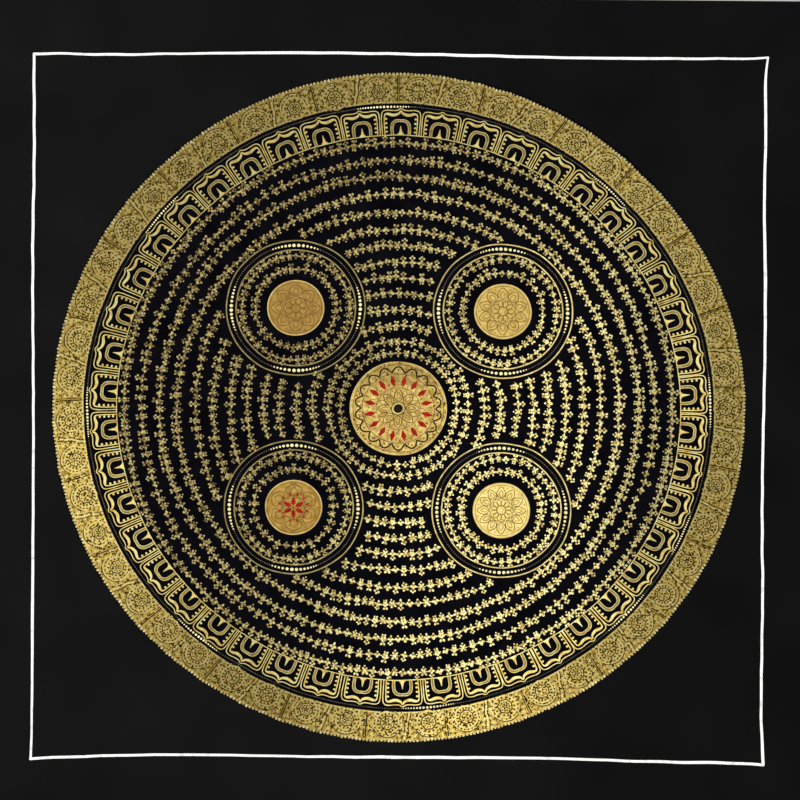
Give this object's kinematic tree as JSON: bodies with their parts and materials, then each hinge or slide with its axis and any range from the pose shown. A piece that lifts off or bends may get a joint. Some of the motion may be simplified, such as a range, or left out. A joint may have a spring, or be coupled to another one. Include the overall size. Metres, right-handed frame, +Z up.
{
  "type": "thangka scroll painting canvas",
  "caption": "Square sheet of black-primed cotton, hung by its top edge, with a gold circular mandala inside a white line border.",
  "frame": {"origin": "middle of the top edge, in the middle of the cloth's thickness, where the hanging is held up", "axes": "+Z up towards what holds the top edge; the painted face looks along -Y; +X runs to the right across the face"},
  "size_m": [0.5802, 0.0227, 0.577],
  "materials": {
    "canvas": "matt black primed cotton on the face, plain unbleached cotton at the back",
    "gold_paint": "brushed-on gold paint, satin, slightly uneven",
    "white_paint": "matt white brush paint",
    "red_paint": "matt vermilion brush paint"
  },
  "bodies": {
    "root": {"canvas": "canvas"}
  },
  "joints": []
}
